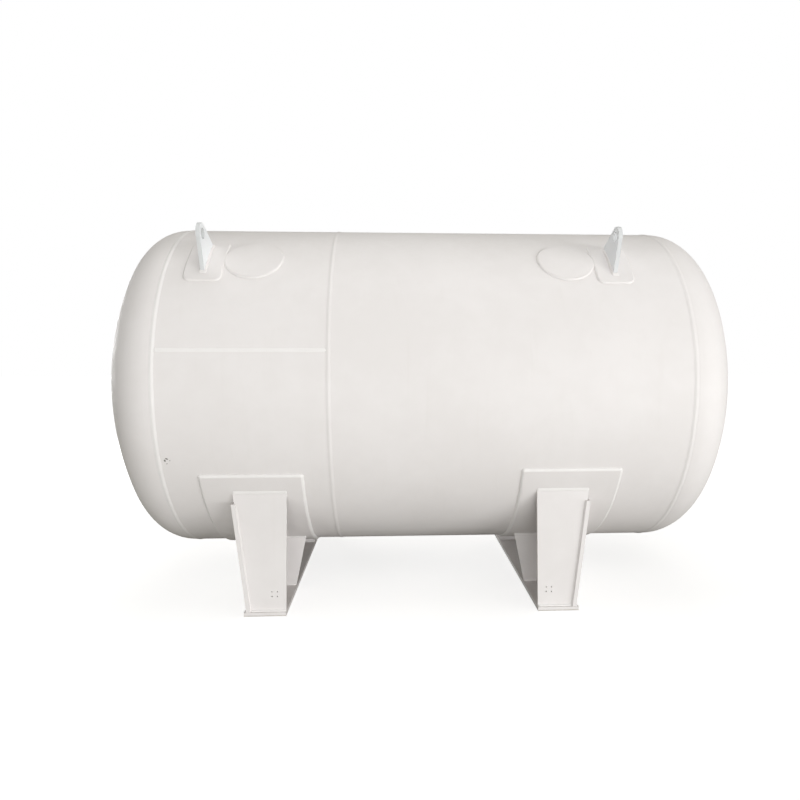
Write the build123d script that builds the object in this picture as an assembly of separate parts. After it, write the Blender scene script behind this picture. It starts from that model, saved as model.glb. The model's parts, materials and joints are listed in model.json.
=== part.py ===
from build123d import *
import math
import os

# A horizontal storage tank with dished ends, standing on two saddles.
# Lengths are in millimetres and angles in degrees.
# X runs along the tank, Y from front to back and Z up. The origin is on the ground
# under the middle of the tank. Left is -X and front is -Y.

# Jacket
jacket_radius = 1000.0
jacket_thickness = 8.0
shell_length = 2850.0

# Dished heads
head_flange = 22.0
knuckle_radius = 245.0
crown_radius = 1700.0

# Weld beads
girth_weld_width = 24.0
girth_weld_crown = 2.5
seam_weld_width = 20.0
seam_weld_crown = 2.0

# Lifting lugs on their pads, all at one height on the jacket
lug_angle = 47.5
lug_thickness = 22.0
lug_base_width = 250.0
lug_top_radius = 55.0
lug_hole_radius = 30.0
lug_hole_height = 160.0
lug_pad_width = 192.0
lug_pad_height = 350.0
lug_pad_corner = 35.0
lug_pad_thickness = 10.0

# The lengthwise beads run this many degrees below the lugs: the left one on the front
# of the tank and the right one on the rear
left_seam_drop = 34.0
right_seam_drop = 17.5

# Round plates over the ends of the inner supports, next to the lug pads
cover_radius = 154.0
cover_thickness = 10.0

# Gaps along the tank: between a head's bead and the nearest lug pad, between a lug pad
# and its cover plate, and between the left wrapper and the middle bead
left_pad_gap = 104.0
right_pad_gap = 269.0
cover_gap = 8.0
middle_weld_gap = 151.0

# Wrapper plates, centred under the cover plates. Their top edges lie this many degrees
# below the tank's axis
wrapper_width = 532.0
wrapper_thickness = 12.0
left_wrapper_top_angle = 26.3
right_wrapper_top_angle = 25.0

# Base plates: each one ends short of the jacket's side, and reaches from the wrapper's
# middle towards the tank's end (outer) and towards its middle (inner)
base_thickness = 22.0
base_end_inset = 125.0
base_outer_offset = 64.0
base_inner_offset = 168.0

# Saddle plates: the web stands highest at the saddle's ends and lowest at its middle
web_middle_height = 196.0
web_thickness = 22.0
web_foot_ledge = 12.0
web_end_ledge = 4.0
web_lean = 6.3
web_corner_drop = 62.0
end_plate_thickness = 16.0
end_plate_end_ledge = 18.0
end_plate_foot_ledge = 2.0
end_plate_lean = 1.3
end_plate_ear = 8.0
rib_thickness = 14.0
rib_end_distance = 425.0
rib_foot_ledge = 6.0
rib_lean = 12.0

# Four small holes near the foot of each front plate: their radius, their distances from
# each other, and how far the middle of the four is from the plate's inner edge and from
# the base plate
plate_hole_radius = 3.5
plate_hole_span = 30.0
plate_hole_rise = 26.0
plate_hole_edge_distance = 61.5
plate_hole_height = 97.0

# Cutting bodies reach this far past what they cut
overcut = 50.0

# Circles about the tank's axis
jacket_bore = jacket_radius - jacket_thickness
lug_pad_radius = jacket_radius + lug_pad_thickness
cover_outer_radius = jacket_radius + cover_thickness
wrapper_radius = jacket_radius + wrapper_thickness

# Heights and lengths that follow
axis_height = base_thickness + web_middle_height + wrapper_radius
base_length = 2 * (jacket_radius - base_end_inset)
rib_spacing = base_length - 2 * rib_end_distance
web_foot_offset = base_outer_offset - web_foot_ledge
end_plate_foot_offset = base_inner_offset - end_plate_foot_ledge
rib_foot_offset = base_inner_offset - rib_foot_ledge

# Places along the tank: a cover plate's middle is also its saddle's middle
lug_to_cover = lug_pad_width / 2 + cover_gap + cover_radius
left_weld_x = -shell_length / 2
right_weld_x = shell_length / 2
left_lug_x = left_weld_x + girth_weld_width / 2 + left_pad_gap + lug_pad_width / 2
right_lug_x = right_weld_x - girth_weld_width / 2 - right_pad_gap - lug_pad_width / 2
left_saddle_x = left_lug_x + lug_to_cover
right_saddle_x = right_lug_x - lug_to_cover
middle_weld_x = left_saddle_x + wrapper_width / 2 + middle_weld_gap + girth_weld_width / 2

# Angles round the tank, with 0 at the front, 90 on top and 180 at the back
rear_lug_angle = 180 - lug_angle
left_seam_angle = lug_angle - left_seam_drop
right_seam_angle = rear_lug_angle + right_seam_drop


def across(x):
    """The plane square to the tank's axis at x: local X is Y, local Y is up."""
    return Plane(origin=(x, 0, axis_height), x_dir=(0, 1, 0), z_dir=(1, 0, 0))


def outward(angle):
    """The direction out of the jacket, with 0 at the front, 90 on top and 180 at the back."""
    turn = math.radians(angle)
    return Vector(0, -math.cos(turn), math.sin(turn))


def radial_slice(x, angle):
    """The plane square to the axis at x whose local Y points out of the jacket."""
    out = outward(angle)
    return Plane(origin=(x, 0, axis_height), x_dir=(0, out.Z, -out.Y), z_dir=(1, 0, 0))


def facing(x, angle):
    """The plane at the jacket's surface that faces out of it, with local X along the tank."""
    out = outward(angle)
    origin = Vector(x, 0, axis_height) + out * (jacket_radius - overcut)
    return Plane(origin=origin, x_dir=(1, 0, 0), z_dir=out)


def ring(inner, outer, x_from, x_to):
    """A round tube about the tank's axis."""
    section = across(x_from) * (Circle(outer) - Circle(inner))
    return extrude(section, x_to - x_from)


def tank_cylinder(radius):
    """A full cylinder about the tank's axis, longer than the shell, to cut seats with."""
    half = shell_length / 2 + overcut
    return extrude(across(-half) * Circle(radius), 2 * half)


def seam_section(x, angle):
    """The section of a lengthwise bead: as thick as the jacket, with a crowned top."""
    half = seam_weld_width / 2
    bottom = math.sqrt(jacket_bore ** 2 - half ** 2)
    top = math.sqrt(jacket_radius ** 2 - half ** 2)
    crown = jacket_radius + seam_weld_crown
    edges = [
        ThreePointArc((-half, bottom), (0, jacket_bore), (half, bottom)),
        Line((half, bottom), (half, top)),
        ThreePointArc((half, top), (0, crown), (-half, top)),
        Line((-half, top), (-half, bottom)),
    ]
    return radial_slice(x, angle) * make_face(edges)


def seam_weld(x_from, x_to, angle):
    """The bead along one course, between its two round beads."""
    start = x_from + girth_weld_width / 2
    end = x_to - girth_weld_width / 2
    return extrude(seam_section(start, angle), end - start)


def shell_course(x_from, x_to, seam_angle):
    """One rolled course, open along its lengthwise bead."""
    start = x_from + girth_weld_width / 2
    end = x_to - girth_weld_width / 2
    tube = ring(jacket_bore, jacket_radius, start, end)
    slot_middle = jacket_radius - jacket_thickness / 2
    slot_height = jacket_thickness + overcut
    slot_face = Pos(0, slot_middle) * Rectangle(seam_weld_width, slot_height)
    slot = extrude(radial_slice(start, seam_angle) * slot_face, end - start)
    return tube - slot


def girth_weld(x):
    """A round bead between two plates: as thick as the jacket, with a crowned top."""
    half = girth_weld_width / 2
    crown = jacket_radius + girth_weld_crown
    edges = [
        Line((-half, jacket_bore), (half, jacket_bore)),
        Line((half, jacket_bore), (half, jacket_radius)),
        ThreePointArc((half, jacket_radius), (0, crown), (-half, jacket_radius)),
        Line((-half, jacket_radius), (-half, jacket_bore)),
    ]
    lengthwise = Plane(origin=(x, 0, axis_height), x_dir=(1, 0, 0), z_dir=(0, -1, 0))
    axis = Axis((x, 0, axis_height), (1, 0, 0))
    return revolve(lengthwise * make_face(edges), axis)


def dish_points(inset):
    """Centres and corners of the dished outline, drawn inset from the outside surface."""
    knuckle = knuckle_radius - inset
    crown = crown_radius - inset
    reach = jacket_radius - knuckle_radius
    span = crown_radius - knuckle_radius
    join_angle = math.degrees(math.asin(reach / span))
    crown_centre = head_flange - math.sqrt(span ** 2 - reach ** 2)
    return knuckle, crown, join_angle, crown_centre


def dish_arcs(inset):
    """The knuckle and the crown, from the flange to the middle of the head."""
    knuckle, crown, join_angle, crown_centre = dish_points(inset)
    knuckle_centre = (head_flange, jacket_radius - knuckle_radius)
    knuckle_arc = CenterArc(knuckle_centre, knuckle, 90, join_angle - 90)
    crown_arc = CenterArc((crown_centre, 0), crown, join_angle, -join_angle)
    return knuckle_arc, crown_arc


def head(x, side):
    """A dished end, from its weld at x outwards: side is -1 at the left and 1 at the right."""
    start = girth_weld_width / 2
    outer_knuckle, outer_crown = dish_arcs(0)
    inner_knuckle, inner_crown = dish_arcs(jacket_thickness)
    edges = [
        Line((start, jacket_radius), (head_flange, jacket_radius)),
        outer_knuckle,
        outer_crown,
        Line(outer_crown @ 1, inner_crown @ 1),
        inner_crown,
        inner_knuckle,
        Line((head_flange, jacket_bore), (start, jacket_bore)),
        Line((start, jacket_bore), (start, jacket_radius)),
    ]
    lengthwise = Plane(origin=(x, 0, axis_height), x_dir=(side, 0, 0), z_dir=(0, -side, 0))
    axis = Axis((x, 0, axis_height), (1, 0, 0))
    return revolve(lengthwise * make_face(edges), axis)


def lifting_lug(x, angle):
    """A tapered plate with a round top and a hole, seated on its pad."""
    half = lug_base_width / 2
    foot = math.sqrt(lug_pad_radius ** 2 - half ** 2)
    hole_radius_from_axis = jacket_radius + lug_hole_height
    top = Pos(0, hole_radius_from_axis) * Circle(lug_top_radius)
    base_line = Line((-half, foot), (half, foot))
    outline = make_hull([base_line] + list(top.edges()))
    hole = Pos(0, hole_radius_from_axis) * Circle(lug_hole_radius)
    profile = outline - Circle(lug_pad_radius) - hole
    return extrude(radial_slice(x, angle) * profile, lug_thickness / 2, both=True)


def curved_patch(outline, x, angle, outer_radius):
    """A plate of the given outline, rolled to lie on the jacket."""
    width = outline.bounding_box().size.X
    band = ring(jacket_radius, outer_radius, x - width, x + width)
    punch = extrude(facing(x, angle) * outline, 2 * overcut)
    return band & punch


def lug_pad(x, angle):
    """The pad under a lifting lug, with round corners."""
    outline = RectangleRounded(lug_pad_width, lug_pad_height, lug_pad_corner)
    return curved_patch(outline, x, angle, lug_pad_radius)


def cover_plate(x, angle):
    """The round plate over the end of an inner support."""
    return curved_patch(Circle(cover_radius), x, angle, cover_outer_radius)


def wrapper_plate(x, top_angle):
    """The curved plate between the jacket and a saddle."""
    start = 180 + top_angle
    sweep = 180 - 2 * top_angle
    outer = CenterArc((0, 0), wrapper_radius, start, sweep)
    inner = CenterArc((0, 0), jacket_radius, start, sweep)
    edges = [outer, inner, Line(outer @ 0, inner @ 0), Line(outer @ 1, inner @ 1)]
    section = across(x - wrapper_width / 2) * make_face(edges)
    return extrude(section, wrapper_width)


def leaning(foot_offset, lean, height):
    """How far from the wrapper's middle a leaning edge is, at a height above the base plate."""
    return foot_offset + (height - base_thickness) * math.tan(math.radians(lean))


def web_inner_offset(height):
    """Where the web's inner face is, at a height above the ground."""
    wall = web_thickness / math.cos(math.radians(web_lean))
    return leaning(web_foot_offset, web_lean, height) - wall


def upright(points, x, side, y_from, y_to):
    """A plate that stands across the tank: points are pairs of outward offset and height."""
    plane = Plane(origin=(x, y_from, 0), x_dir=(side, 0, 0), z_dir=(0, -side, 0))
    face = plane * make_face(Polyline(*points, close=True))
    return extrude(face, (y_from - y_to) * side)


def seat_height(y):
    """The height at which the wrapper's outside surface stands at y from the middle."""
    return axis_height - math.sqrt(wrapper_radius ** 2 - y ** 2)


end_plate_face = base_length / 2 - end_plate_end_ledge
end_plate_top = seat_height(end_plate_face)
web_top = end_plate_top - web_corner_drop


def saddle_web(x, side, seat):
    """The long leaning plate on the saddle's outer side, cut to the wrapper's curve."""
    wall = web_thickness / math.cos(math.radians(web_lean))
    foot = leaning(web_foot_offset, web_lean, base_thickness)
    top = leaning(web_foot_offset, web_lean, web_top)
    points = [
        (foot - wall, base_thickness),
        (foot, base_thickness),
        (top, web_top),
        (top - wall, web_top),
    ]
    reach = base_length / 2 - web_end_ledge
    return upright(points, x, side, -reach, reach) - seat


def saddle_end_plate(x, side, end, seat):
    """The plate that closes a saddle at the front (end -1) or the rear (end 1)."""
    top = axis_height
    ear = end_plate_ear
    points = [
        (-leaning(end_plate_foot_offset, end_plate_lean, base_thickness), base_thickness),
        (web_inner_offset(base_thickness), base_thickness),
        (web_inner_offset(web_top), web_top),
        (web_inner_offset(web_top) + ear, web_top),
        (web_inner_offset(top) + ear, top),
        (-leaning(end_plate_foot_offset, end_plate_lean, top), top),
    ]
    near = end * end_plate_face
    far = end * (end_plate_face - end_plate_thickness)
    return upright(points, x, side, min(near, far), max(near, far)) - seat


def plate_holes(x, side):
    """Cutting pins for the small holes of a front plate."""
    middle = x - side * (end_plate_foot_offset - plate_hole_edge_distance)
    height = base_thickness + plate_hole_height
    origin = (middle, -end_plate_face - overcut, height)
    plane = Plane(origin=origin, x_dir=(1, 0, 0), z_dir=(0, 1, 0))
    places = GridLocations(plate_hole_span, plate_hole_rise, 2, 2)
    circles = Sketch() + places * Circle(plate_hole_radius)
    return extrude(plane * circles, 2 * overcut)


def saddle_rib(x, side, end, seat):
    """A middle rib, wider at the top than at its foot."""
    top = axis_height - jacket_radius / 2
    points = [
        (-leaning(rib_foot_offset, rib_lean, base_thickness), base_thickness),
        (web_inner_offset(base_thickness), base_thickness),
        (web_inner_offset(top), top),
        (-leaning(rib_foot_offset, rib_lean, top), top),
    ]
    middle = end * rib_spacing / 2
    return upright(points, x, side, middle - rib_thickness / 2, middle + rib_thickness / 2) - seat


def base_plate(x, side):
    """The plate that a saddle stands on."""
    width = base_outer_offset + base_inner_offset
    middle = x + side * (base_outer_offset - base_inner_offset) / 2
    return Pos(middle, 0, base_thickness / 2) * Box(width, base_length, base_thickness)


def build_jacket():
    """The two courses, the two heads and the five weld beads."""
    return {
        "shell_course_left": shell_course(left_weld_x, middle_weld_x, left_seam_angle),
        "shell_course_right": shell_course(middle_weld_x, right_weld_x, right_seam_angle),
        "head_left": head(left_weld_x, -1),
        "head_right": head(right_weld_x, 1),
        "girth_weld_left": girth_weld(left_weld_x),
        "girth_weld_middle": girth_weld(middle_weld_x),
        "girth_weld_right": girth_weld(right_weld_x),
        "seam_weld_left": seam_weld(left_weld_x, middle_weld_x, left_seam_angle),
        "seam_weld_right": seam_weld(middle_weld_x, right_weld_x, right_seam_angle),
    }


def build_lifting(side_name, lug_x, cover_x):
    """The lugs, pads and cover plates at the left or right end, front and rear."""
    pieces = {}
    for place, angle in (("front", lug_angle), ("rear", rear_lug_angle)):
        pieces[f"lifting_lug_{place}_{side_name}"] = lifting_lug(lug_x, angle)
        pieces[f"lug_pad_{place}_{side_name}"] = lug_pad(lug_x, angle)
        pieces[f"cover_plate_{place}_{side_name}"] = cover_plate(cover_x, angle)
    return pieces


def build_saddle(side_name, x, side, wrapper_top_angle, seat):
    """One saddle: its web stands on the outer side of its ribs."""
    front_plate = saddle_end_plate(x, side, -1, seat) - plate_holes(x, side)
    return {
        f"wrapper_plate_{side_name}": wrapper_plate(x, wrapper_top_angle),
        f"saddle_web_{side_name}": saddle_web(x, side, seat),
        f"saddle_front_plate_{side_name}": front_plate,
        f"saddle_rear_plate_{side_name}": saddle_end_plate(x, side, 1, seat),
        f"saddle_front_rib_{side_name}": saddle_rib(x, side, -1, seat),
        f"saddle_rear_rib_{side_name}": saddle_rib(x, side, 1, seat),
        f"base_plate_{side_name}": base_plate(x, side),
    }


def build():
    """Every piece of the tank by name."""
    seat = tank_cylinder(wrapper_radius)
    pieces = build_jacket()
    pieces.update(build_lifting("left", left_lug_x, left_saddle_x))
    pieces.update(build_lifting("right", right_lug_x, right_saddle_x))
    pieces.update(build_saddle("left", left_saddle_x, -1, left_wrapper_top_angle, seat))
    pieces.update(build_saddle("right", right_saddle_x, 1, right_wrapper_top_angle, seat))
    return pieces


os.makedirs("parts", exist_ok=True)
for name, piece in build().items():
    export_step(piece, f"parts/{name}.step")
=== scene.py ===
import json
import math

import bpy
import numpy as np
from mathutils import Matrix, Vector

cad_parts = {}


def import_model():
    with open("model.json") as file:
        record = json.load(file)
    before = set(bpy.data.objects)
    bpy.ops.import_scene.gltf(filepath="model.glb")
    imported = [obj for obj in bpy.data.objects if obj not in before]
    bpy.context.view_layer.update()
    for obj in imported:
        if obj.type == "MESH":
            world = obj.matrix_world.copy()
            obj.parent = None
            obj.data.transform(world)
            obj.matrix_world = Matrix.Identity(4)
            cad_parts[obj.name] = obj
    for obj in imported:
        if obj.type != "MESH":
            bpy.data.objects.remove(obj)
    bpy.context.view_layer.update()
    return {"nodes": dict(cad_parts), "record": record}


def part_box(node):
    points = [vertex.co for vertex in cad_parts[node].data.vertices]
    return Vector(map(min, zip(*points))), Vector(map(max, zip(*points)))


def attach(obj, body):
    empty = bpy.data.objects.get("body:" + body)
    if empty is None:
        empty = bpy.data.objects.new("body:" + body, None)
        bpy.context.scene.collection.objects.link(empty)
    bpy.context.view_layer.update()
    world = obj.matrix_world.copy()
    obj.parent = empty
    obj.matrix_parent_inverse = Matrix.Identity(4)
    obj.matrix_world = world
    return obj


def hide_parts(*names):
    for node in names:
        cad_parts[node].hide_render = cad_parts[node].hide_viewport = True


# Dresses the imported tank: paint, rippled weld beads and small marks, then floor, light
# and camera. Lengths are in metres and angles in degrees. X runs along the tank, the
# front is -Y and the ground is z = 0.

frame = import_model()

# What the solids measure
JACKET_RADIUS = 1.000
JACKET_THICKNESS = 0.008
GIRTH_WELD_WIDTH = 0.024
GIRTH_WELD_CROWN = 0.0025
SEAM_WELD_WIDTH = 0.020
SEAM_WELD_CROWN = 0.0020
SEAM_ANGLES = {"left": 13.5, "right": 150.0}
LUG_ANGLES = {"front": 47.5, "rear": 132.5}
LUG_THICKNESS = 0.022
LUG_BASE_WIDTH = 0.250
LUG_TOP_RADIUS = 0.055
LUG_HOLE_HEIGHT = 0.160
PAD_HEIGHT = 0.350
PAD_CORNER = 0.035
PAD_THICKNESS = 0.010
WRAPPER_THICKNESS = 0.012
WRAPPER_TOP_ANGLES = {"left": 26.3, "right": 25.0}
BASE_THICKNESS = 0.022
WEB_THICKNESS = 0.022
WEB_FOOT_OFFSET = 0.052
WEB_LEAN = 6.3
END_PLATE_THICKNESS = 0.016
END_PLATE_REACH = 0.166
RIB_REACH = 0.162
SEAT_RADIUS = JACKET_RADIUS + WRAPPER_THICKNESS

# Beads: how long one ripple is, how far apart the sections of the mesh are, and the fewest
# of them in a run and in a round corner
RIPPLE = 0.0085
STEP = 0.0030
FEWEST_STEPS = 6
FEWEST_IN_CORNER = 7

# Corner welds: the leg from the corner to each toe
LARGE_LEG = 0.010
MEDIUM_LEG = 0.008
SMALL_LEG = 0.007
WRAPPER_LEG = 0.0155
WEB_FOOT_LEGS = (0.0062, 0.0075)
NOTCH_LEGS = (0.0055, 0.0065)

# How far welds stay below a plate's top, the top of the web and the end of its curve
BELOW_PLATE = 0.0005
BELOW_WEB = 0.004
BEFORE_WEB_END = 0.002


def middle(node):
    """The middle of a node's box."""
    low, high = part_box(node)
    return (low + high) / 2


AXIS_HEIGHT = middle("girth_weld_middle").z


def around(angle):
    """The direction out of the jacket: 0 is the front, 90 the top and 180 the back."""
    turn = math.radians(angle)
    return Vector((0, -math.cos(turn), math.sin(turn)))


def along(angle):
    """The direction round the jacket in which the angle grows."""
    turn = math.radians(angle)
    return Vector((0, math.sin(turn), math.cos(turn)))


def on_jacket(x, angle, radius):
    """The point at x and at that angle and distance from the tank's axis."""
    return Vector((x, 0, AXIS_HEIGHT)) + around(angle) * radius


# Materials

class Graph:
    """Short calls for the nodes of a material or of the world."""

    def __init__(self, tree):
        self.nodes = tree.nodes
        self.links = tree.links

    def add(self, kind, **settings):
        node = self.nodes.new(kind)
        for name, value in settings.items():
            setattr(node, name, value)
        return node

    def put(self, socket, value):
        """Links a socket, or sets a plain value."""
        if isinstance(value, bpy.types.NodeSocket):
            self.links.new(value, socket)
        else:
            socket.default_value = value

    def math(self, operation, a, b=0.0):
        node = self.add("ShaderNodeMath", operation=operation)
        self.put(node.inputs[0], a)
        self.put(node.inputs[1], b)
        return node.outputs[0]

    def times(self, first, second):
        return self.math("MULTIPLY", first, second)

    def stretch(self, point, scale):
        node = self.add("ShaderNodeMapping")
        self.put(node.inputs["Vector"], point)
        node.inputs["Scale"].default_value = scale
        return node.outputs[0]

    def noise(self, point, scale, detail, roughness):
        node = self.add("ShaderNodeTexNoise")
        self.put(node.inputs["Vector"], point)
        node.inputs["Scale"].default_value = scale
        node.inputs["Detail"].default_value = detail
        node.inputs["Roughness"].default_value = roughness
        return node.outputs["Fac"]

    def remap(self, value, low, high, to_low=0.0, to_high=1.0):
        node = self.add("ShaderNodeMapRange", clamp=True)
        node.interpolation_type = "SMOOTHSTEP"
        self.put(node.inputs["Value"], value)
        node.inputs["From Min"].default_value = low
        node.inputs["From Max"].default_value = high
        node.inputs["To Min"].default_value = to_low
        node.inputs["To Max"].default_value = to_high
        return node.outputs["Result"]

    def mix(self, share, first, second):
        """The first colour where share is 0, and the second where it is 1."""
        node = self.add("ShaderNodeMix", data_type="RGBA")
        self.put(node.inputs["Factor"], share)
        self.put(node.inputs["A"], first)
        self.put(node.inputs["B"], second)
        return next(socket for socket in node.outputs if socket.type == "RGBA")

    def spot(self, point, centre, size, turn):
        """1 inside a small ellipsoid at centre and 0 outside, with a soft edge."""
        shift = self.add("ShaderNodeVectorMath", operation="SUBTRACT")
        self.put(shift.inputs[0], point)
        shift.inputs[1].default_value = centre
        turned = self.add("ShaderNodeVectorRotate", rotation_type="Y_AXIS")
        self.put(turned.inputs["Vector"], shift.outputs[0])
        turned.inputs["Angle"].default_value = math.radians(turn)
        scaled = self.add("ShaderNodeVectorMath", operation="DIVIDE")
        self.put(scaled.inputs[0], turned.outputs[0])
        scaled.inputs[1].default_value = size
        return self.remap(self.length(scaled.outputs[0]), 0.7, 1.15, 1.0, 0.0)

    def length(self, vector):
        node = self.add("ShaderNodeVectorMath", operation="LENGTH")
        self.put(node.inputs[0], vector)
        return node.outputs["Value"]

    def bump(self, height, strength, distance, below=None):
        """A bump of that height, laid over the one below."""
        node = self.add("ShaderNodeBump")
        node.inputs["Strength"].default_value = strength
        node.inputs["Distance"].default_value = distance
        self.put(node.inputs["Height"], height)
        if below:
            self.put(node.inputs["Normal"], below)
        return node.outputs[0]

    def by_ray(self, others, camera):
        """One shader for the rays of the camera, and another for all others."""
        mix = self.add("ShaderNodeMixShader")
        seen = self.add("ShaderNodeLightPath")
        self.put(mix.inputs["Fac"], seen.outputs["Is Camera Ray"])
        self.put(mix.inputs[1], others)
        self.put(mix.inputs[2], camera)
        return mix.outputs[0]


def new_material(name):
    """A material with nothing in it but its output."""
    material = bpy.data.materials.new(name)
    material.use_nodes = True
    material.node_tree.nodes.clear()
    g = Graph(material.node_tree)
    return material, g, g.add("ShaderNodeOutputMaterial")


def rgba(red, green, blue):
    return (red, green, blue, 1.0)


# Dust, which is also the colour of the painted shade on what faces up
DUST_AND_TOP_SHADE = rgba(0.50, 0.47, 0.39)
# Dirt for splashes and specks, and also the colour of the painted contact shadow at the ground
DIRT_AND_CONTACT_SHADE = rgba(0.30, 0.27, 0.21)
BARE_STEEL = rgba(0.115, 0.105, 0.090)
EDGE_GREY = rgba(0.36, 0.36, 0.345)
ENAMEL_IOR = 1.42

# Noises in the paint: how many to a metre, how much detail and how rough
PATCHES = (1.3, 3.0, 0.55)
BLOTCHES = (9.0, 4.0, 0.6)
STREAKS = (2.2, 4.0, 0.62)
GRAIN = (38.0, 5.0, 0.7)
SPECKS = (210.0, 2.0, 0.5)
PEEL = (260.0, 2.0, 0.5)
BRUSH = (70.0, 3.0, 0.6)
ROLLED = (2.4, 2.0, 0.4)

# Streaks are drawn out downward, and brush marks along the tank
STREAK_STRETCH = (9.0, 3.0, 0.55)
BRUSH_STRETCH = (0.25, 1.0, 1.0)

# The bumps: the strength and height of orange peel and brush marks, and the height of the
# waves of rolled plate, whose strength each paint sets
PEEL_STRENGTH = 0.30
PEEL_HEIGHT = 0.0004
ROLLED_HEIGHT = 0.012

# How much of the coat each mark covers at most
STREAK_SHARE = 0.05
DUST_AND_TOP_SHADE_SHARE = 0.16
SPLASH_SHARE = 0.07
SPECK_SHARE = 0.35

# Heights above the ground up to which it splashes, and up to which a painted contact shadow lies
SPLASH_TOP = 0.10
CONTACT_SHADE_FULL = 0.001
CONTACT_SHADE_TOP = 0.008


def coat(g, point, colour, shade):
    """Two tones of one colour, in patches of half a metre and of a hand's width."""
    patches = g.noise(point, *PATCHES)
    blotches = g.noise(point, *BLOTCHES)
    tone = g.math("ADD", g.times(patches, 0.65), g.times(blotches, 0.35))
    return g.mix(g.remap(tone, 0.36, 0.64), colour, shade), blotches


def weather(g, point, normal, base):
    """Rain streaks, dust that also darkens the top as painted shade, splashes from the ground, a
    painted contact shadow at the ground and specks in the coat.
    """
    height = g.add("ShaderNodeSeparateXYZ")
    g.put(height.inputs[0], point)

    # Rain streaks run down the sides
    streaks = g.remap(g.noise(g.stretch(point, STREAK_STRETCH), *STREAKS), 0.55, 0.80)
    steep = g.remap(g.math("ABSOLUTE", normal.outputs["Z"]), 0.45, 0.95, 1.0, 0.0)
    base = g.mix(g.times(g.times(streaks, steep), STREAK_SHARE), base, DUST_AND_TOP_SHADE)

    # Dust settles on top and darkens it, which is partly painted shade on the top, and the ground
    # splashes the lowest part
    grain = g.noise(point, *GRAIN)
    facing_up = g.remap(normal.outputs["Z"], 0.55, 1.0)
    dust_and_top_shade = g.times(facing_up, g.remap(grain, 0.3, 0.75, 0.25, 0.6))
    base = g.mix(g.times(dust_and_top_shade, DUST_AND_TOP_SHADE_SHARE), base, DUST_AND_TOP_SHADE)
    low = g.remap(height.outputs["Z"], 0.0, SPLASH_TOP, 1.0, 0.0)
    splash = g.times(low, g.remap(grain, 0.42, 0.72))
    base = g.mix(g.times(splash, SPLASH_SHARE), base, DIRT_AND_CONTACT_SHADE)
    # A painted contact shadow darkens the lowest few millimetres, where the plates stand on the
    # ground
    contact_shade = g.remap(height.outputs["Z"], CONTACT_SHADE_FULL, CONTACT_SHADE_TOP, 1.0, 0.0)
    base = g.mix(g.times(contact_shade, g.remap(grain, 0.25, 0.6, 0.35, 0.7)), base, DIRT_AND_CONTACT_SHADE)

    # Small specks in the coat
    specks = g.remap(g.noise(point, *SPECKS), 0.745, 0.80)
    return g.mix(g.times(specks, SPECK_SHARE), base, DIRT_AND_CONTACT_SHADE), dust_and_top_shade


def uneven(g, point, wave):
    """Rolled plate is slightly wavy, and sprayed enamel has a fine orange peel."""
    peel = g.noise(point, *PEEL)
    brush = g.noise(g.stretch(point, BRUSH_STRETCH), *BRUSH)
    fine = g.bump(g.math("ADD", peel, g.times(brush, 0.6)), PEEL_STRENGTH, PEEL_HEIGHT)
    return g.bump(g.noise(point, *ROLLED), wave, ROLLED_HEIGHT, fine)


def paint(name, colour, shade, roughness, wave=0.35, chips=(), grey_edges=0.0):
    """Brushed and sprayed enamel on steel: slow changes of tone, faint rain streaks,
    dust on what faces up, which also darkens the top as painted shade, dirt near the
    ground with a painted contact shadow along it, and a surface that isn't quite flat."""
    material, g, output = new_material(name)
    shader = g.add("ShaderNodeBsdfPrincipled")
    g.put(output.inputs["Surface"], shader.outputs[0])
    point = g.add("ShaderNodeTexCoord").outputs["Object"]
    normal = g.add("ShaderNodeSeparateXYZ")
    g.put(normal.inputs[0], g.add("ShaderNodeNewGeometry").outputs["Normal"])
    base, blotches = coat(g, point, colour, shade)

    # Faces that don't look along X, such as a lug's edges, are made greyer
    edge = g.remap(g.math("ABSOLUTE", normal.outputs["X"]), 0.35, 0.75, grey_edges, 0.0)
    base = g.mix(edge, base, EDGE_GREY)
    base, dust_and_top_shade = weather(g, point, normal, base)

    # Chips down to the steel, in the places given
    for centre, size, turn in chips:
        base = g.mix(g.spot(point, centre, size, turn), base, BARE_STEEL)

    g.put(shader.inputs["Base Color"], base)
    gloss = g.remap(blotches, 0.3, 0.7, roughness - 0.05, roughness + 0.06)
    g.put(shader.inputs["Roughness"], g.math("ADD", gloss, g.times(dust_and_top_shade, 0.25)))
    shader.inputs["IOR"].default_value = ENAMEL_IOR
    g.put(shader.inputs["Normal"], uneven(g, point, wave))
    return material


def chip(x, angle, length, width, turn):
    """One chip in the jacket's paint: its middle, its size and how far it is turned."""
    reach = 0.02
    return tuple(on_jacket(x, angle, JACKET_RADIUS)), (length, reach, width), turn


# The chips of the left course make a short bent mark below its long weld
JACKET_CHIPS = (
    chip(-1.391, -20.2, 0.0048, 0.0062, 20.0),
    chip(-1.380, -19.6, 0.0085, 0.0036, -25.0),
    chip(-1.383, -21.3, 0.0040, 0.0018, 30.0),
    chip(-1.365, -20.2, 0.0034, 0.0016, 10.0),
)

IVORY = rgba(0.818, 0.789, 0.782)
IVORY_SHADE = rgba(0.790, 0.760, 0.750)
SADDLE = rgba(0.792, 0.764, 0.757)
SADDLE_SHADE = rgba(0.762, 0.733, 0.724)
# The welds' coat is whiter than the jacket's: partly their own paint, partly a painted highlight
# for the light the beads catch
WELD_PAINT_AND_HIGHLIGHT = rgba(0.872, 0.850, 0.842)
WELD_SHADE_AND_HIGHLIGHT = rgba(0.845, 0.822, 0.812)
LUG_WHITE = rgba(0.890, 0.912, 0.935)
LUG_SHADE = rgba(0.865, 0.885, 0.905)

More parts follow.
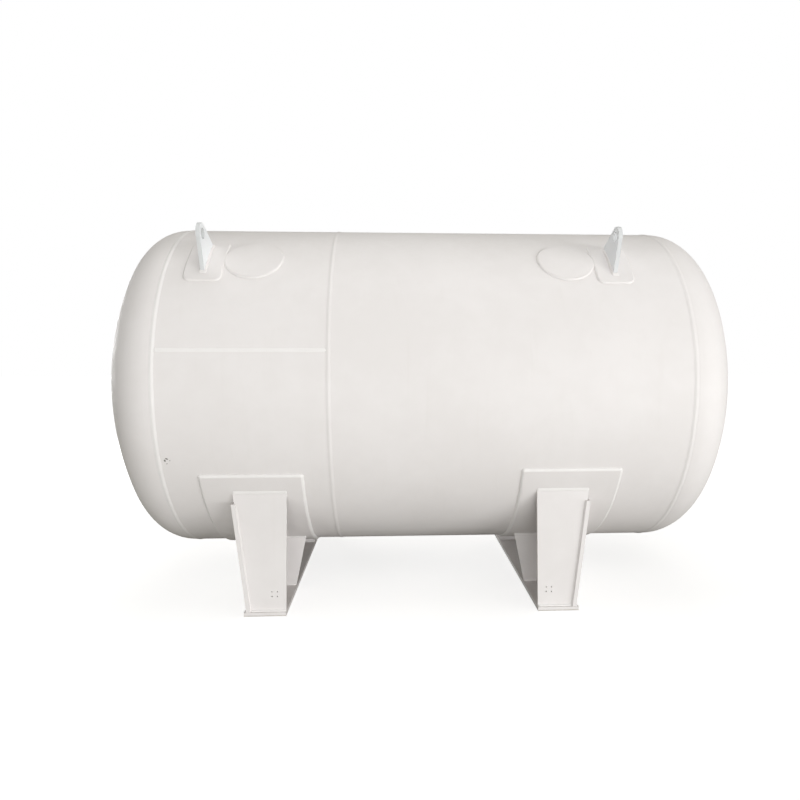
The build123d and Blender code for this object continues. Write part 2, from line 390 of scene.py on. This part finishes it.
materials = {
    "jacket_paint": paint("jacket_paint", IVORY, IVORY_SHADE, 0.60, chips=JACKET_CHIPS),
    "weld_paint": paint("weld_paint", WELD_PAINT_AND_HIGHLIGHT, WELD_SHADE_AND_HIGHLIGHT, 0.50, wave=0.1),
    "lug_paint": paint("lug_paint", LUG_WHITE, LUG_SHADE, 0.42, wave=0.15, grey_edges=0.38),
    "saddle_paint": paint("saddle_paint", SADDLE, SADDLE_SHADE, 0.58, wave=0.2),
}

slot_of = {}
for part in frame["record"]["subparts"]:
    slot_of[part["node"]] = part["material_slot"]
for name, node in frame["nodes"].items():
    node.data.materials.clear()
    node.data.materials.append(materials[slot_of[name]])


# Weld beads

# Seeds of the ripples: one per piece, which grows by a step from run to run. The round beads
# take theirs from their place along the tank.
SEED_STEP = 1.7
GIRTH_SEED = 7.0
SEAM_SEED = 3.0
WRAPPER_SEED = 2.0
SADDLE_SEED = 4.0
NOTCH_SEED = 5.0

# How far a bead's end is rounded, and how thick it starts
NOSE = 0.007
NOSE_START = 0.35

# Slow waves along a bead: a height, radians per metre and a share of the seed for each.
# The first two crowd and spread the ripples, and the others swell the bead.
WANDER = ((0.35, 23.0, 1.0), (0.25, 61.0, 2.3))
SWELL = ((0.5, 41.0, 1.0), (0.5, 97.0, 3.1))


class Bead:
    """One mesh made of several runs of weld."""

    def __init__(self, name, seed):
        self.name = name
        self.seed = seed
        self.points = []
        self.faces = []
        self.count = 0

    def run(self, roots, sides, ups, section, closed=False):
        """Sweeps a section along a run. roots, sides and ups are arrays of points and of
        unit directions, and section(length, seed) gives each place's outline in those two."""
        steps = np.linalg.norm(np.diff(roots, axis=0), axis=1)
        length = np.concatenate([[0.0], np.cumsum(steps)])
        outline = section(length, self.seed)
        self.seed += SEED_STEP
        if not closed:
            outline = taper(outline, length)
        places, corners = outline.shape[:2]
        ring = (roots[:, None, :] + sides[:, None, :] * outline[:, :, :1]
                + ups[:, None, :] * outline[:, :, 1:])
        first = self.count
        self.points.append(ring.reshape(-1, 3))
        self.count += places * corners
        last = places if closed else places - 1
        faces = []
        for i in range(last):
            here = first + i * corners
            there = first + ((i + 1) % places) * corners
            for k in range(corners):
                j = (k + 1) % corners
                faces.append((here + k, there + k, there + j, here + j))
        if not closed:
            end = first + (places - 1) * corners
            faces.append(tuple(first + k for k in range(corners)))
            faces.append(tuple(end + k for k in reversed(range(corners))))
        # The faces look outward whichever way round the outline and the run go
        hand = np.dot(np.cross(roots[1] - roots[0], sides[0]), ups[0])
        if hand * signed_area(outline[0]) > 0:
            faces = [tuple(reversed(face)) for face in faces]
        self.faces += faces

    def finish(self, slot="weld_paint", *replaced):
        """Makes the mesh object, which rides on the tank."""
        mesh = bpy.data.meshes.new(self.name)
        mesh.from_pydata(np.concatenate(self.points).tolist(), [], self.faces)
        mesh.update()
        mesh.polygons.foreach_set("use_smooth", [True] * len(mesh.polygons))
        mesh.materials.append(materials[slot])
        piece = bpy.data.objects.new(self.name, mesh)
        bpy.context.scene.collection.objects.link(piece)
        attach(piece, "root")
        if replaced:
            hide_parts(*replaced)


def signed_area(outline):
    """The area inside an outline, positive where it runs anticlockwise."""
    side, up = outline[:, 0], outline[:, 1]
    return float(np.sum(side * np.roll(up, -1) - up * np.roll(side, -1))) / 2


def taper(outline, length):
    """A bead starts and stops with a rounded end."""
    into = np.minimum(length, length[-1] - length) / NOSE
    size = NOSE_START + (1 - NOSE_START) * np.sqrt(np.clip(into, 0, 1))
    return outline * size[:, None, None]


def waves(parts, length, seed):
    """The sum of some waves at each place along a bead."""
    return sum(height * np.sin(length * pitch + share * seed) for height, pitch, share in parts)


def ripple(length, seed):
    """The height of the ripples along a bead, from 0 to 1, and its swell, from -1 to 1."""
    turn = length / RIPPLE + waves(WANDER, length, seed)
    return np.abs(np.cos(math.pi * turn)), waves(SWELL, length, seed)


def fillet(leg_side, leg_up):
    """The section of a corner weld whose toes lie leg_side and leg_up from the corner. Its
    ripples bend back in the middle, and its root and toes are sunk into the plates."""
    corners = 6
    belly = 0.14
    relief = 0.0007
    bend = 0.004
    swell = 0.05
    sunk = 0.0004

    def section(length, seed):
        t = (1 - np.cos(np.linspace(0, math.pi, corners + 1))) / 2
        bow = np.sin(math.pi * t)
        rows = []
        for k in range(corners + 1):
            wave, slow = ripple(length + bend * bow[k], seed)
            width = 1 + swell * slow
            out = belly * bow[k] * (leg_side + leg_up) / 2 + relief * (wave - 0.5) * bow[k]
            side = leg_side * (1 - t[k]) * width + out
            up = leg_up * t[k] * width + out
            rows.append(np.stack([side, up], 1))
        rows[0][:, 1] -= sunk
        rows[-1][:, 0] -= sunk
        root = np.full_like(rows[0], -sunk)
        return np.stack(rows + [root], 1)

    return section


def butt(width, crown, depth):
    """The section of a weld between two plates: as deep as they are, with a crown whose toes
    wander a little way over the plates' edges, more slowly than it swells."""
    corners = 10
    toe = 0.0015
    wander = 0.4
    slower = 0.37
    toe_seed = 5.0
    relief = 0.0006
    bend = 0.006
    swell = 0.07
    lift = 0.0002
    shoulder = 0.0006
    half = width / 2

    def section(length, seed):
        t = np.sin(np.linspace(-math.pi / 2, math.pi / 2, corners + 1))
        _, drift = ripple(length * slower, seed + toe_seed)
        reach = half + toe * (1 - wander + wander * drift)
        rows = []
        for k in range(corners + 1):
            bow = 1 - t[k] ** 2
            wave, slow = ripple(length + bend * bow, seed)
            rise = 0.5 + 0.5 * math.cos(math.pi * t[k])
            up = crown * (1 - swell + swell * slow) * rise + relief * (wave - 0.5) * bow
            rows.append(np.stack([t[k] * reach, up + lift], 1))
        for side, up in ((half, -shoulder), (half, -depth), (-half, -depth), (-half, -shoulder)):
            rows.append(np.tile([side, up], (len(length), 1)))
        return np.stack(rows, 1)

    return section


def unit(vectors):
    """Each row scaled to length 1."""
    return vectors / np.linalg.norm(vectors, axis=1)[:, None]


def steps_for(length):
    return max(FEWEST_STEPS, int(math.ceil(length / STEP)) + 1)


def straight(start, end):
    """Points from start to end, a step apart."""
    start = np.array(start, float)
    end = np.array(end, float)
    t = np.linspace(0, 1, steps_for(np.linalg.norm(end - start)))[:, None]
    return start * (1 - t) + end * t


def same(direction, points):
    """One unit direction for every point."""
    return unit(np.tile(np.array(direction, float), (len(points), 1)))


def corner_run(bead, start, end, side, up, leg_side, leg_up=None):
    """A straight corner weld, with its two directions given."""
    points = straight(start, end)
    section = fillet(leg_side, leg_up or leg_side)
    bead.run(points, same(side, points), same(up, points), section)


def round_jacket(angles):
    """Directions out of the jacket and round it, for an array of angles."""
    turn = np.radians(angles)
    zero = np.zeros_like(turn)
    out = np.stack([zero, -np.cos(turn), np.sin(turn)], 1)
    on = np.stack([zero, np.sin(turn), np.cos(turn)], 1)
    return out, on


def girth_bead(name, slot):
    """The rippled bead in place of the smooth one between two rings of plate."""
    x = middle(name).x
    count = int(2 * math.pi * JACKET_RADIUS / STEP)
    angles = np.linspace(0, 360, count, endpoint=False)
    out, _ = round_jacket(angles)
    roots = out * JACKET_RADIUS + np.array([x, 0, AXIS_HEIGHT])
    bead = Bead("rippled_" + name, x * GIRTH_SEED)
    side = np.tile([1.0, 0.0, 0.0], (count, 1))
    section = butt(GIRTH_WELD_WIDTH, GIRTH_WELD_CROWN, JACKET_THICKNESS)
    bead.run(roots, side, out, section, closed=True)
    bead.finish(slot, name)


def seam_bead(side):
    """The rippled bead along one course."""
    name = "seam_weld_" + side
    low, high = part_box(name)
    angle = SEAM_ANGLES[side]
    points = straight((low.x, 0, 0), (high.x, 0, 0))
    points += np.array(on_jacket(0, angle, JACKET_RADIUS))
    bead = Bead("rippled_" + name, SEAM_SEED)
    section = butt(SEAM_WELD_WIDTH, SEAM_WELD_CROWN, JACKET_THICKNESS)
    bead.run(points, same(along(angle), points), same(around(angle), points), section)
    bead.finish("weld_paint", name)


def rounded_outline(width, height, corner):
    """Points and outward directions round a flat outline with round corners."""
    points = []
    normals = []
    half = (width / 2 - corner, height / 2 - corner)
    for quarter, (sx, sy) in enumerate(((1, 1), (-1, 1), (-1, -1), (1, -1))):
        turns = max(FEWEST_IN_CORNER, int(corner * math.pi / 2 / STEP))
        for t in np.linspace(0, 90, turns):
            angle = math.radians(quarter * 90 + t)
            out = (math.cos(angle), math.sin(angle))
            points.append((sx * half[0] + corner * out[0], sy * half[1] + corner * out[1]))
            normals.append(out)
        run = 2 * (half[0] if quarter in (0, 2) else half[1])
        direction = ((-1, 0), (0, -1), (1, 0), (0, 1))[quarter]
        start = points[-1]
        for t in np.linspace(0, run, steps_for(run))[1:-1]:
            points.append((start[0] + direction[0] * t, start[1] + direction[1] * t))
            normals.append(normals[-1])
    return np.array(points), np.array(normals)


def circle_outline(radius):
    turn = np.linspace(0, 2 * math.pi, int(2 * math.pi * radius / STEP), endpoint=False)
    out = np.stack([np.cos(turn), np.sin(turn)], 1)
    return out * radius, out


def laid(outline, x, angle, radius, flat=True):
    """An outline laid on a round surface: its points, and there the directions out of the
    outline and out of the surface. A flat outline was cut straight through, and the other
    kind is measured round the surface."""
    points, normals = outline
    if flat:
        turn = np.arcsin(points[:, 1] / radius)
    else:
        turn = points[:, 1] / radius
    out, on = round_jacket(angle + np.degrees(turn))
    roots = out * radius + np.array([x, 0, AXIS_HEIGHT])
    roots[:, 0] += points[:, 0]
    sides = on * normals[:, 1:2]
    sides[:, 0] += normals[:, 0]
    return roots, unit(sides), out


def patch_run(bead, x, angle, outline, legs, flat=True):
    """A closed corner weld round a plate that lies on the jacket."""
    roots, sides, out = laid(outline, x, angle, JACKET_RADIUS, flat)
    bead.run(roots, sides, out, fillet(*legs), closed=True)


def lug_run(bead, x, angle):
    """The weld round a lug's foot. At its two ends it leans in with the lug's flanks."""
    edge = 0.0015
    past_flank = 1.146
    pad = JACKET_RADIUS + PAD_THICKNESS
    half = LUG_BASE_WIDTH / 2
    outline = rounded_outline(LUG_THICKNESS, LUG_BASE_WIDTH, edge)
    roots, sides, _ = laid(outline, x, angle, pad)
    along_flank = outline[1][:, 1:2]
    centre = np.array(around(angle))
    across = np.array(along(angle))
    rise = JACKET_RADIUS + LUG_HOLE_HEIGHT - pad * math.cos(math.asin(half / pad))
    lean = math.atan2(half - LUG_TOP_RADIUS, rise) + math.radians(past_flank)
    ups = centre * math.cos(lean) - across * np.sign(along_flank) * math.sin(lean)
    ups = ups * np.abs(along_flank) + centre * (1 - np.abs(along_flank))
    bead.run(roots, sides, unit(ups), fillet(LARGE_LEG, LARGE_LEG), closed=True)


def lifting_beads(place, side):
    """The welds round one lug, its pad and the cover plate next to it."""
    angle = LUG_ANGLES[place]
    legs = (LARGE_LEG, PAD_THICKNESS - BELOW_PLATE)
    low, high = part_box(f"lug_pad_{place}_{side}")
    lug_x = (low.x + high.x) / 2
    bead = Bead(f"pad_bead_{place}_{side}", lug_x + angle)
    outline = rounded_outline(high.x - low.x, PAD_HEIGHT, PAD_CORNER)
    patch_run(bead, lug_x, angle, outline, legs)
    lug_run(bead, lug_x, angle)
    bead.finish("jacket_paint")

    low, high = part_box(f"cover_plate_{place}_{side}")
    bead = Bead(f"cover_bead_{place}_{side}", lug_x - angle)
    outline = circle_outline((high.x - low.x) / 2)
    patch_run(bead, (low.x + high.x) / 2, angle, outline, legs)
    bead.finish("jacket_paint")


def wrapper_bead(side, sign):
    """The weld between a saddle's wrapper and the jacket."""
    corner = 0.002
    underside = 270
    low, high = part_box("wrapper_plate_" + side)
    sweep = math.radians(180 - 2 * WRAPPER_TOP_ANGLES[side]) * JACKET_RADIUS
    outline = rounded_outline(high.x - low.x, sweep, corner)
    legs = (WRAPPER_LEG, WRAPPER_THICKNESS - BELOW_PLATE)
    bead = Bead("wrapper_bead_" + side, sign * WRAPPER_SEED)
    patch_run(bead, (low.x + high.x) / 2, underside, outline, legs, flat=False)
    bead.finish()


def seat_z(y):
    """The height of the wrapper's outside surface."""
    return AXIS_HEIGHT - np.sqrt(SEAT_RADIUS ** 2 - np.asarray(y, float) ** 2)


class Saddle:
    """The welds between the plates of one saddle. sign is -1 at the left, where the web's
    outer face looks along -X, and 1 at the right."""

    def __init__(self, side, sign):
        low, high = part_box("wrapper_plate_" + side)
        self.side = side
        self.sign = sign
        self.x = (low.x + high.x) / 2
        self.bead = Bead("saddle_bead_" + side, sign * SADDLE_SEED)
        self.notch_bead = Bead("saddle_edge_bead_" + side, sign * NOTCH_SEED)
        self.web_low, self.web_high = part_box("saddle_web_" + side)
        drop = AXIS_HEIGHT - self.web_high.z
        self.web_half = math.sqrt(SEAT_RADIUS ** 2 - drop ** 2) - BEFORE_WEB_END

    def web_x(self, z, inner=True):
        """Where the web's inner or outer face is at a height."""
        lean = math.radians(WEB_LEAN)
        offset = WEB_FOOT_OFFSET + (z - BASE_THICKNESS) * math.tan(lean)
        if inner:
            offset -= WEB_THICKNESS / math.cos(lean)
        return self.x + self.sign * offset

    def top_edges(self, low, high):
        """Where a plate's top starts and ends along X, the inner side first."""
        return (high.x, low.x) if self.sign < 0 else (low.x, high.x)

    def web_seat(self, y_from, y_to, leg, inner=True):
        """The weld between the web and the wrapper, along the curve where they meet."""
        first = math.asin(y_from / SEAT_RADIUS)
        last = math.asin(y_to / SEAT_RADIUS)
        turn = np.linspace(first, last, steps_for(abs(last - first) * SEAT_RADIUS))
        y = SEAT_RADIUS * np.sin(turn)
        z = seat_z(y)
        roots = np.stack([[self.web_x(height, inner) for height in z], y, z], 1)
        out = np.stack([np.zeros_like(y), y, z - AXIS_HEIGHT], 1) / SEAT_RADIUS
        tangent = unit(np.gradient(roots, axis=0))
        way = -self.sign if inner else self.sign
        sides = unit(np.cross(out, tangent))
        sides *= np.sign(sides[:, :1]) * way
        lean = math.radians(WEB_LEAN)
        face = np.array([math.cos(lean), 0, -math.sin(lean) * self.sign])
        ups = unit(np.cross(np.tile(face, (len(y), 1)), tangent))
        ups *= np.sign((ups * out).sum(1))[:, None]
        self.bead.run(roots, sides, ups, fillet(leg, leg))

    def plate_seat(self, x_from, x_to, y, facing, leg):
        """The weld between an upright plate's face and the wrapper, level along X."""
        z = float(seat_z(y))
        tangent = np.array([0, AXIS_HEIGHT - z, y]) / SEAT_RADIUS
        side = tangent * np.sign(tangent[1]) * facing
        corner_run(self.bead, (x_from, y, z), (x_to, y, z), side, (0, 0, -1), leg)

    def plate_foot(self, reach, y, facing, leg):
        """The weld between an upright plate's face and the base plate."""
        start = (self.x - self.sign * reach, y, BASE_THICKNESS)
        end = (self.web_x(BASE_THICKNESS), y, BASE_THICKNESS)
        corner_run(self.bead, start, end, (0, facing, 0), (0, 0, 1), leg)

    def plate_side(self, bead, top, y, facing, leg_side, leg_up=None):
        """The weld between an upright plate's face and the web's inner face."""
        start = (self.web_x(BASE_THICKNESS), y, BASE_THICKNESS)
        end = (self.web_x(top), y, top)
        corner_run(bead, start, end, (0, facing, 0), (-self.sign, 0, 0), leg_side, leg_up)

    def web_foot(self, y_from, y_to, leg_side, leg_up=None, inner=True):
        """The weld between the web and the base plate."""
        x = self.web_x(BASE_THICKNESS, inner)
        way = -self.sign if inner else self.sign
        corner_run(self.bead, (x, y_from, BASE_THICKNESS), (x, y_to, BASE_THICKNESS),
                   (way, 0, 0), (0, 0, 1), leg_side, leg_up)

    def end_plate(self, end, facing):
        """The welds of one end plate. They tell where its back is."""
        low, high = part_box(f"saddle_{end}_plate_{self.side}")
        face = low.y if facing < 0 else high.y
        back = face - facing * END_PLATE_THICKNESS
        inner, outer = self.top_edges(low, high)
        notch = self.web_high.z - BELOW_WEB
        self.plate_seat(inner, outer, face, facing, LARGE_LEG)
        self.plate_seat(inner, self.web_x(float(seat_z(face))), back, -facing, MEDIUM_LEG)
        self.plate_foot(END_PLATE_REACH, face, facing, MEDIUM_LEG)
        self.plate_foot(END_PLATE_REACH, back, -facing, MEDIUM_LEG)
        self.plate_side(self.notch_bead, notch, face, facing, *NOTCH_LEGS)
        self.plate_side(self.bead, notch, back, -facing, MEDIUM_LEG)
        return back

    def rib(self, end):
        """The welds of one rib. They tell where its two faces are."""
        low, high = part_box(f"saddle_{end}_rib_{self.side}")
        inner, _ = self.top_edges(low, high)
        for face, facing in ((low.y, -1), (high.y, 1)):
            top = float(seat_z(face))
            self.plate_seat(inner, self.web_x(top), face, facing, MEDIUM_LEG)
            self.plate_foot(RIB_REACH, face, facing, SMALL_LEG)
            self.plate_side(self.bead, top, face, facing, SMALL_LEG)
        return [low.y, high.y]

    def weld(self):
        """All the welds of the saddle, and between its plates those of the web's inner side."""
        front = self.end_plate("front", -1)
        rear = self.end_plate("rear", 1)
        half = self.web_half
        self.web_seat(-half, half, LARGE_LEG, inner=False)
        stops = [front] + self.rib("front") + self.rib("rear") + [rear]
        for near, far in zip(stops[0::2], stops[1::2]):
            self.web_seat(max(near, -half), min(far, half), MEDIUM_LEG)
            self.web_foot(near, far, SMALL_LEG)
        self.web_foot(self.web_low.y, self.web_high.y, *WEB_FOOT_LEGS, inner=False)
        self.bead.finish()
        self.notch_bead.finish("saddle_paint")


# The left round bead carries the paint of the other welds, which is whiter partly as a painted
# highlight for the light the beads catch, and the jacket's coat covers the other two
for side, slot in (("left", "weld_paint"), ("middle", "jacket_paint"), ("right", "jacket_paint")):
    girth_bead("girth_weld_" + side, slot)
for side in ("left", "right"):
    seam_bead(side)
    for place in ("front", "rear"):
        lifting_beads(place, side)
for side, sign in (("left", -1), ("right", 1)):
    wrapper_bead(side, sign)
    Saddle(side, sign).weld()


# Floor, light and camera

FLOOR_SIZE = 80
FLOOR_GAP = 0.0008
FLOOR_COLOUR = rgba(0.56, 0.555, 0.55)
FLOOR_BOUNCE = rgba(0.19, 0.178, 0.13)
SKY_COLOUR = rgba(1.0, 0.98, 0.82)
SKY_STRENGTH = 0.14

# The camera sees the floor's own light grow to white between these distances
SHADOW_NEAR = 2.5
SHADOW_FAR = 7.0
NEAR_STRENGTH = 0.74

# The lamps look at about the middle of the tank, and the ones in front are slightly cool
TANK_MIDDLE = (0, 0, 1.2)
COOL = (0.99, 0.995, 1.0)
NEUTRAL = (1, 1, 1)


def floor():
    """A pale floor. The camera sees it as white, apart from the tank's own soft shadow, and
    the tank gets a dimmer and warmer light from it."""
    bpy.ops.mesh.primitive_plane_add(size=FLOOR_SIZE, location=(0, 0, -FLOOR_GAP))
    plane = bpy.context.object
    plane.name = "floor"
    material, g, output = new_material("floor")
    away = g.length(g.add("ShaderNodeTexCoord").outputs["Object"])
    bright = g.add("ShaderNodeEmission")
    g.put(bright.inputs["Strength"], g.remap(away, SHADOW_NEAR, SHADOW_FAR, NEAR_STRENGTH, 1.0))
    coloured = g.add("ShaderNodeBsdfDiffuse")
    coloured.inputs["Color"].default_value = FLOOR_COLOUR
    both = g.add("ShaderNodeAddShader")
    g.put(both.inputs[0], bright.outputs[0])
    g.put(both.inputs[1], coloured.outputs[0])
    plain = g.add("ShaderNodeBsdfDiffuse")
    plain.inputs["Color"].default_value = FLOOR_BOUNCE
    g.put(output.inputs["Surface"], g.by_ray(plain.outputs[0], both.outputs[0]))
    plane.data.materials.append(material)


def world():
    """White behind the tank, and an even sky, dim and slightly warm, that lights it."""
    sky = bpy.data.worlds.new("sky")
    bpy.context.scene.world = sky
    sky.use_nodes = True
    sky.node_tree.nodes.clear()
    g = Graph(sky.node_tree)
    output = g.add("ShaderNodeOutputWorld")
    lit = g.add("ShaderNodeBackground")
    lit.inputs["Color"].default_value = SKY_COLOUR
    lit.inputs["Strength"].default_value = SKY_STRENGTH
    white = g.add("ShaderNodeBackground")
    white.inputs["Color"].default_value = rgba(1, 1, 1)
    g.put(output.inputs["Surface"], g.by_ray(lit.outputs[0], white.outputs[0]))


def softbox(name, place, size, power, colour=NEUTRAL, target=TANK_MIDDLE):
    """A rectangular area light that points at target."""
    lamp = bpy.data.lights.new(name, "AREA")
    lamp.shape = "RECTANGLE"
    lamp.size, lamp.size_y = size
    lamp.energy = power
    lamp.color = colour
    holder = bpy.data.objects.new(name, lamp)
    holder.location = place
    direction = Vector(target) - Vector(place)
    holder.rotation_euler = direction.to_track_quat("-Z", "Y").to_euler()
    bpy.context.scene.collection.objects.link(holder)


def camera():
    """The photograph's viewpoint: 4.25 m from the tank's axis, at eye height. The focal
    length and the centre are in the photograph's pixels."""
    focal = 625.5
    picture = 800.0
    centre = (422.94, 414.50)
    sensor = 36.0
    left_of_middle = 0.1937
    in_front = 4.2519
    above_axis = 0.2019
    look_down = 5.33
    look_right = 2.79
    data = bpy.data.cameras.new("camera")
    data.sensor_fit = "HORIZONTAL"
    data.sensor_width = sensor
    data.lens = sensor * focal / picture
    data.shift_x = (picture / 2 - centre[0]) / picture
    data.shift_y = (centre[1] - picture / 2) / picture
    holder = bpy.data.objects.new("camera", data)
    holder.location = (-left_of_middle, -in_front, AXIS_HEIGHT + above_axis)
    holder.rotation_euler = (math.radians(90 - look_down), 0, -math.radians(look_right))
    bpy.context.scene.collection.objects.link(holder)
    bpy.context.scene.camera = holder


floor()
world()
softbox("left front", (-9.2, -9.2, 1.5), (7.0, 1.5), 310, COOL)
softbox("front", (0.7, -13.0, 0.6), (9.0, 1.1), 635, COOL)
softbox("key", (9.2, -9.2, 0.6), (8.0, 1.1), 815, COOL)
softbox("right", (12.6, -3.4, 0.8), (4.0, 1.5), 220, COOL)
softbox("top", (0.0, -0.5, 6.0), (6.0, 4.0), 120)
softbox("rear", (0.8, 7.2, 2.2), (6.0, 2.4), 190)
softbox("rear left", (-5.5, 6.5, 2.2), (4.0, 2.4), 235, target=(-0.5, 0, 1.2))
softbox("left", (-7.0, 3.6, 2.4), (3.0, 2.6), 50, target=(-1.0, 0, 1.2))
camera()
bpy.context.scene.view_settings.view_transform = "Standard"
